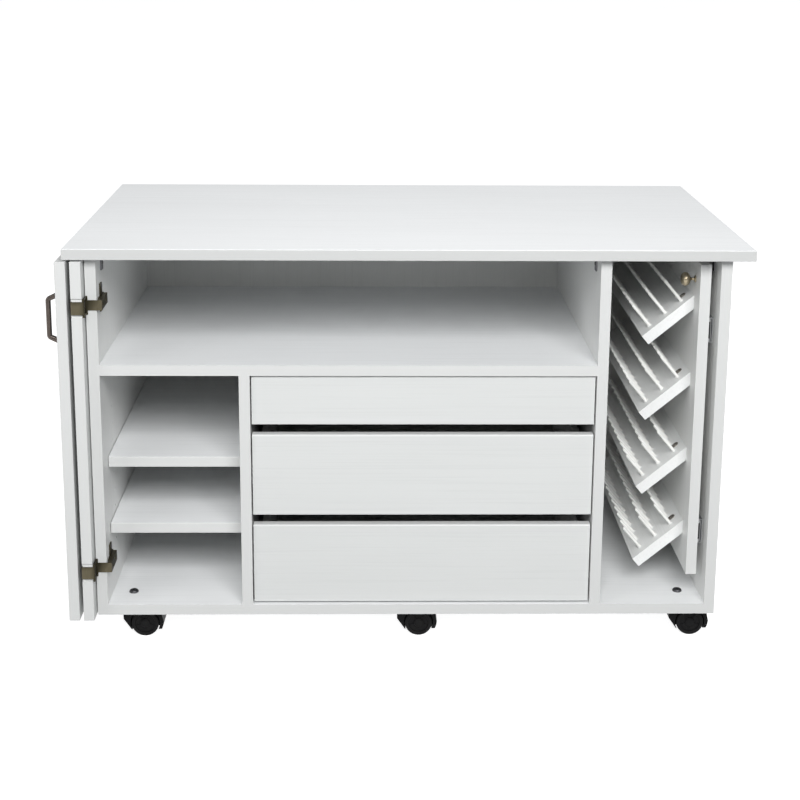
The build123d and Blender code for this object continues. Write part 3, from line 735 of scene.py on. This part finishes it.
# %% Back panel screws
back_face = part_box("back_panel")[1].y
shelf_low, shelf_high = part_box("machine_shelf")
back_screws = bmesh.new()
spots = []
for share in (0.06, 0.28, 0.5, 0.72, 0.94):
    spots.append((shelf_low.x + (shelf_high.x - shelf_low.x) * share, (shelf_low.z + shelf_high.z) / 2))
for name in ("left_divider", "right_divider"):
    low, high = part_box(name)
    for share in (0.12, 0.45) if name == "left_divider" else (0.1, 0.4, 0.9):
        spots.append(((low.x + high.x) / 2, low.z + (high.z - low.z) * share))
for x, z in spots:
    pan_head(back_screws, Vector((x, back_face, z)), (0, 1, 0), 3.6, 1.4)
make_piece("back_panel_screws", back_screws, "cabinet", zinc)
print("back panel screws:", len(spots))

# %% [markdown]
# ### Angle brackets
# A bracket is a strip of steel bent to a right angle, round on the outside of the bend. Its section is
# drawn once, from the wall leg round the bend to the leg under the top, and pulled along its width.

# %% Angle brackets
def bracket_section(wall, way, under_top, leg, sheet):
    """Points round a bent strip, seen along Y: wall leg down, top leg out."""
    inside = 2.2 * MM
    outline = [(0.0, -leg), (0.0, -0.8 * MM)]
    for step in range(5):
        lean = math.radians(90 - 90 * step / 4)
        outline.append((0.8 * MM * (1 - math.sin(lean)), -0.8 * MM * (1 - math.cos(lean))))
    outline += [(leg, 0.0), (leg, -sheet)]
    for step in range(6):
        lean = math.radians(90 * step / 5)
        outline.append((sheet + inside * (1 - math.sin(lean)), -sheet - inside * (1 - math.cos(lean))))
    outline.append((sheet, -leg))
    return [(wall + way * x, under_top + z) for x, z in outline]


brackets = bmesh.new()
bracket_walls = (inner_wall, divider_wall, rack_wall)
for low, high in loose_parts("top_brackets"):
    sides = ((low.x, 1), (high.x, -1))
    wall, way = min(sides, key=lambda side: min(abs(side[0] - at) for at in bracket_walls))
    section = bracket_section(wall, way, high.z, high.z - low.z, 2.5 * MM)
    centre_x = sum(x for x, z in section) / len(section)
    centre_z = sum(z for x, z in section) / len(section)
    rings = []
    for y, inset in ((low.y, 0.985), (low.y + 0.4 * MM, 1.0), (high.y - 0.4 * MM, 1.0), (high.y, 0.985)):
        drawn = [(centre_x + (x - centre_x) * inset, centre_z + (z - centre_z) * inset) for x, z in section]
        rings.append([(x, y, z) for x, z in drawn])
    ring_stack(brackets, rings)
make_piece("angle_brackets", brackets, "cabinet", dark_steel, ["top_brackets"])
print("angle brackets made")

# %% [markdown]
# ## Casters
# A twin-wheel caster has a hood moulded round both wheels, and turns on a bolt through the base. The hood
# keeps the model's shape with rounder edges. The wheels are turned from a profile: a tread with a moulding
# line, a dished face with five ribs, and a hub cap.

# %% Caster hoods and wheels
wheel_profile = [
    (3.1, 0.6), (8.0, 0.6), (9.0, 0.0), (22.2, 0.0), (23.8, 0.35), (24.7, 1.1), (25.0, 2.2), (25.0, 7.6),
    (24.6, 7.95), (24.6, 8.55), (25.0, 8.9), (25.0, 14.3), (24.7, 15.4), (23.8, 16.15), (22.4, 16.5),
    (19.3, 16.5), (18.4, 16.1), (18.0, 15.2), (17.7, 14.1), (9.4, 13.6), (8.7, 14.0), (8.3, 15.2),
    (7.4, 15.9), (5.0, 16.2), (0.0, 16.3),
]


def bar(mesh, low, high, place):
    """A rounded bar between two corners, in a local frame."""
    made = bmesh.new()
    bmesh.ops.create_cube(made, size=1.0)
    middle = (Vector(low) + Vector(high)) / 2
    size = Vector(high) - Vector(low)
    bmesh.ops.scale(made, vec=size, verts=made.verts)
    bmesh.ops.bevel(
        made, geom=list(made.edges), offset=min(size) * 0.3, segments=2, affect="EDGES", profile=0.5
    )
    bmesh.ops.transform(made, matrix=place @ Matrix.Translation(middle), verts=made.verts)
    joined = bpy.data.meshes.new("bar")
    made.to_mesh(joined)
    made.free()
    mesh.from_mesh(joined)
    bpy.data.meshes.remove(joined)


wheel_start = 7.0 * MM
half_axle = 19.0
for number in range(1, 7):
    dress(f"caster_{number}_hood", hood_black, 0.0014, 3, 30)
    axle = Vector(joint_at[f"caster_{number}_roll"]["pos_m"])
    wheels = bmesh.new()
    for side in (-1, 1):
        start = axle + Vector((0, side * wheel_start, 0))
        turned(wheels, wheel_profile, start, (0, side, 0), 64)
        for spoke in range(5):
            lean = math.radians(72 * spoke + 18)
            place = Matrix.Translation(start) @ Matrix.Rotation(lean, 4, "Y")
            across = sorted((side * 13.2 * MM, side * 15.0 * MM))
            bar(wheels, (8.0 * MM, across[0], -0.9 * MM), (18.6 * MM, across[1], 0.9 * MM), place)
    turned(wheels, [(2.9, -half_axle), (2.9, half_axle)], axle, (0, 1, 0), 16)
    make_piece(
        f"caster_{number}_wheel_pair", wheels, f"caster_{number}_wheelset", tread_black,
        [f"caster_{number}_wheels"],
    )
print("six casters made")

# %% [markdown]
# ### Caster bolts
# Each bolt comes up through the base and shows as a dark domed head with a hexagonal socket. Below the
# base a washer spreads its load, and the plain shank is the pin that the hood swivels on.

# %% Caster bolts
bolts = bmesh.new()
base_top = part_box("base_panel")[1].z
base_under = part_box("base_panel")[0].z
bolt_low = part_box("caster_bolts")[0].z
for number in range(1, 7):
    pin = Vector(joint_at[f"caster_{number}_swivel"]["pos_m"])
    seat = Vector((pin.x, pin.y, base_top))
    rings = [circle(8.5 * MM, 0.0, 24), circle(8.5 * MM, 1.2 * MM, 24)]
    for step in range(1, 6):
        lean = math.radians(18 * step * 0.86)
        rings.append(circle((8.5 - 4.6 * (1 - math.cos(lean))) * MM, (1.2 + 3.8 * math.sin(lean)) * MM, 24))
    rings += [hex_ring(2.9 * MM, 4.95 * MM), hex_ring(2.7 * MM, 2.2 * MM)]
    ring_stack(bolts, rings, Matrix.Translation(seat))
    shank = [(4.0, 0.3), (4.0, (base_top - bolt_low) / MM - 0.8), (3.3, (base_top - bolt_low) / MM)]
    turned(bolts, shank, seat, (0, 0, -1), 24)
    washer = [(4.1, 0.0), (10.7, 0.0), (11.0, 0.3), (11.0, 0.9), (10.7, 1.2), (4.1, 1.2)]
    turned(bolts, washer, (pin.x, pin.y, base_under), (0, 0, -1), 32)
make_piece("caster_bolt_set", bolts, "cabinet", dark_steel, ["caster_bolts"])
print("caster bolts made")

# %% [markdown]
# ## Thread rack
# The rack's pegs are white rods with a rounded tip and a small collar where they meet the shelf, so that a
# spool stands clear of the board. They lean with the shelf. The model's box for one peg gives its middle,
# and the slope is known, so the root is half a length back along it.

# %% Pegs
slope = math.radians(40.0)
peg_way = Vector((-math.sin(slope), 0.0, math.cos(slope)))
pegs = bmesh.new()
peg_profile = [
    (2.95, 0.3), (2.95, 9.0), (4.3, 9.0), (4.5, 9.3), (4.5, 10.2), (4.2, 10.6), (3.1, 10.9), (2.95, 11.6),
    (2.85, 55.0), (2.6, 57.0), (2.0, 58.3), (1.1, 58.9), (0.0, 59.0),
]
peg_spots = loose_parts("rack_pegs")
peg_half = 29.5 * MM
for low, high in peg_spots:
    root = (low + high) / 2 - peg_way * peg_half
    turned(pegs, peg_profile, root, peg_way, 14)
make_piece("thread_pegs", pegs, "rack", peg_white, ["rack_pegs"])
print("thread pegs:", len(peg_spots))

# %% [markdown]
# ### Cam locks
# Round cam locks pull each shelf tight against the rack's upright. They show as dark discs with a cross
# recess, set almost flush.

# %% Cam locks
cams = bmesh.new()
cam_half = 6.1 * MM
for low, high in loose_parts("rack_cam_locks"):
    root = (low + high) / 2 - peg_way * cam_half
    rings = [circle(7.4 * MM, 0.0, 32), circle(7.4 * MM, 11.6 * MM, 32), circle(7.1 * MM, 12.1 * MM, 32)]
    for radius, height in ((6.2, 12.2), (5.9, 11.7), (4.2, 11.7)):
        rings.append(circle(radius * MM, height * MM, 32))
    rings += [cross_ring(3.1 * MM, 0.75 * MM, 11.7 * MM), cross_ring(2.6 * MM, 0.6 * MM, 9.2 * MM)]
    ring_stack(cams, rings, placed(root, peg_way))
make_piece("cam_locks", cams, "rack", cam_metal, ["rack_cam_locks"])
print("cam locks made")

# %% [markdown]
# ### Slide end clips
# The front end of each rack slide is closed by a small black plastic clip, pushed onto the rail. It covers
# the sheared steel and shows in the narrow gap beside the rack's upright. The clip follows the rail's C
# section, so its outline has a back and two lips. It is drawn three times, the last one slightly smaller,
# which rounds its front edge.

# %% Slide end clips
def clip_outline(low, high, wall, trim):
    """Points round a C that opens to the right, seen from the front."""
    left, far, under, over = low.x + trim, high.x - trim, low.z + trim, high.z - trim
    inner_left, lip_low, lip_high = low.x + wall - trim, low.z + wall - trim, high.z - wall + trim
    return [
        (left, under), (far, under), (far, lip_low), (inner_left, lip_low),
        (inner_left, lip_high), (far, lip_high), (far, over), (left, over),
    ]


clips = bmesh.new()
rail_parts = loose_parts("rack_inner_rails")
clip_wall = 2.6 * MM
for low, high in rail_parts:
    rings = []
    for forward_by, trim in ((0.0, 0.0), (1.5 * MM, 0.0), (2.0 * MM, 0.35 * MM)):
        outline = clip_outline(low, high, clip_wall, trim)
        rings.append([(x, low.y - forward_by, z) for x, z in outline])
    ring_stack(clips, rings)
make_piece("rack_slide_end_clips", clips, "rack", stop_black)
print("slide end clips:", len(rail_parts), "from y", round(rail_parts[0][0].y / MM, 1))

# %% [markdown]
# ### Knob
# The rack pulls out by a small turned knob: a small round foot, a thin stem and an egg-shaped head. The
# profile is given as shares of the model's radius and reach, with more points round the head than the model
# has.

# %% Knob
knob_low, knob_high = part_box("rack_knob")
knob_reach = (knob_high.x - knob_low.x) / MM
knob_radius = (knob_high.z - knob_low.z) / 2 / MM
knob_shares = [
    (0.48, 0.0), (0.50, 0.02), (0.50, 0.05), (0.44, 0.075), (0.29, 0.10), (0.22, 0.14), (0.20, 0.20),
    (0.20, 0.27), (0.25, 0.32), (0.42, 0.37), (0.64, 0.42), (0.82, 0.48), (0.94, 0.55), (1.0, 0.64),
    (0.99, 0.73), (0.92, 0.82), (0.78, 0.90), (0.56, 0.96), (0.30, 0.99), (0.0, 1.0),
]
knob = bmesh.new()
knob_middle = (knob_low + knob_high) / 2
turned(
    knob, [(knob_radius * wide, knob_reach * along) for wide, along in knob_shares],
    (knob_high.x, knob_middle.y, knob_middle.z), (-1, 0, 0), 48,
)
make_piece("turned_knob", knob, "rack", satin_brass, ["rack_knob"], sharp=50)
print("knob reach", round(knob_reach, 1), "mm")

# %% [markdown]
# ## Shelf pins
# An adjustable shelf rests on four steel pins. Each one is a short rod with a collar that stops it at the
# wall.

# %% Shelf pins
pins = bmesh.new()
column_middle = (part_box("left_side_panel")[1].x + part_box("left_divider")[0].x) / 2
for low, high in loose_parts("shelf_pins"):
    middle = (low + high) / 2
    out = 1 if middle.x < column_middle else -1
    start = Vector((low.x if out > 0 else high.x, middle.y, middle.z))
    profile = [(2.1, 0.0), (2.45, 0.6), (2.45, 9.0), (3.6, 9.05), (3.7, 9.3), (3.7, 9.9), (3.5, 10.1)]
    profile += [(2.45, 10.2), (2.45, 16.4), (2.1, 17.0)]
    turned(pins, profile, start, (out, 0, 0), 20)
make_piece("shelf_pin_set", pins, "cabinet", zinc, ["shelf_pins"])
print("shelf pins made")

# %% [markdown]
# ## Door handle
# The handle is a bow: two legs lean in from the door and a straight grip joins them. It is cast, so its
# section is a soft rectangle that swells a little at the feet. A centreline with rounded corners is worked
# out first, and a ring of points is set square to it at each step.

# %% Door handle
handle_low, handle_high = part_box("door_handle")
handle_middle = (handle_low + handle_high) / 2
reach = handle_high.x - handle_low.x
half_height = (handle_high.z - handle_low.z) / 2
half_width = (handle_high.y - handle_low.y) / 2
thick = 8.4 * MM


def rounded_line(corners, radius, steps):
    """A line through corners in a plane, each inner corner replaced by a short curve."""
    line = [Vector(corners[0])]
    for before, corner, after in zip(corners, corners[1:], corners[2:]):
        before, corner, after = Vector(before), Vector(corner), Vector(after)
        start = corner + (before - corner).normalized() * radius
        end = corner + (after - corner).normalized() * radius
        for step in range(steps + 1):
            share = step / steps
            line.append(start * (1 - share) ** 2 + corner * 2 * share * (1 - share) + end * share**2)
    line.append(Vector(corners[-1]))
    return line


grip = reach - thick / 2
foot = half_height - thick * 0.56
lean_in = 9.5 * MM
bow = rounded_line(
    [(0.0, foot), (1.2 * MM, foot - 0.4 * MM), (grip, foot - lean_in), (grip, -foot + lean_in),
     (1.2 * MM, -foot + 0.4 * MM), (0.0, -foot)],
    3.2 * MM, 6,
)
section = []
for step in range(20):
    lean = 2 * math.pi * step / 20
    wide = math.copysign(abs(math.cos(lean)) ** 0.55, math.cos(lean))
    tall = math.copysign(abs(math.sin(lean)) ** 0.55, math.sin(lean))
    section.append((wide, tall))
rings = []
for at, point in enumerate(bow):
    before, after = bow[max(at - 1, 0)], bow[min(at + 1, len(bow) - 1)]
    way = (after - before).normalized()
    if at in (0, len(bow) - 1):
        way = Vector((1.0, 0.0)) if at == 0 else Vector((-1.0, 0.0))
    side = Vector((-way.y, way.x))
    swell = 1.0 + 0.10 * (1 - min(1.0, point.x / (0.45 * reach)))
    ring = []
    for wide, tall in section:
        spot = point + side * (tall * thick / 2 * swell)
        out_x = handle_high.x - max(spot.x, 0.0)
        ring.append((out_x, handle_middle.y + wide * half_width * 0.98, handle_middle.z + spot.y))
    rings.append(ring)
handle = bmesh.new()
ring_stack(handle, rings)
make_piece("bow_handle", handle, "door_outer", handle_bronze, ["door_handle"], sharp=60)
print("handle reach", round(reach / MM, 1), "mm")

# %% [markdown]
# ## Floor
# The floor is a plain pale sheet, wide enough to fill the view. It glows a little, as a lit white sweep
# does, so it stays pale far from the lights. It doesn't spill that glow onto the table. It isn't part of
# the table, so it is declared as staging.

# %% Floor
sheet = bmesh.new()
corners = [sheet.verts.new((x, y, 0.0)) for x, y in ((-14, -8), (14, -8), (14, 26), (-14, 26))]
sheet.faces.new(corners)
floor_data = bpy.data.meshes.new("studio_floor")
sheet.to_mesh(floor_data)
sheet.free()
floor = bpy.data.objects.new("studio_floor", floor_data)
scene.collection.objects.link(floor)
floor_finish, floor_tree, floor_shader, floor_place = new_finish("pale_floor")
floor_drift = grains(floor_tree, floor_place, (0.6, 0.6, 0.6), 2.0)
floor_tone = spread(floor_tree, floor_drift, 0.3, 0.7, 0.0, 1.0)
floor_tree.links.new(
    blended(floor_tree, floor_tone, (0.56, 0.56, 0.56), (0.58, 0.58, 0.58)), floor_shader.inputs["Base Color"]
)
floor_shader.inputs["Roughness"].default_value = 0.9
floor_shader.inputs["Emission Color"].default_value = (1.0, 1.0, 1.0, 1.0)
floor_shader.inputs["Emission Strength"].default_value = 0.86
floor.visible_diffuse = False
floor_shader.inputs["Specular IOR Level"].default_value = 0.1
floor_data.materials.append(floor_finish)
floor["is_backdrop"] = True
print("floor laid")

# %% Measure how far the dressed table reaches past the model's box
shown_low, shown_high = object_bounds()
grown = max(max(c - s for c, s in zip(cad_low, shown_low)), max(s - c for c, s in zip(cad_high, shown_high)))
print("visual box outside the model's box by", round(grown / MM, 3), "mm")
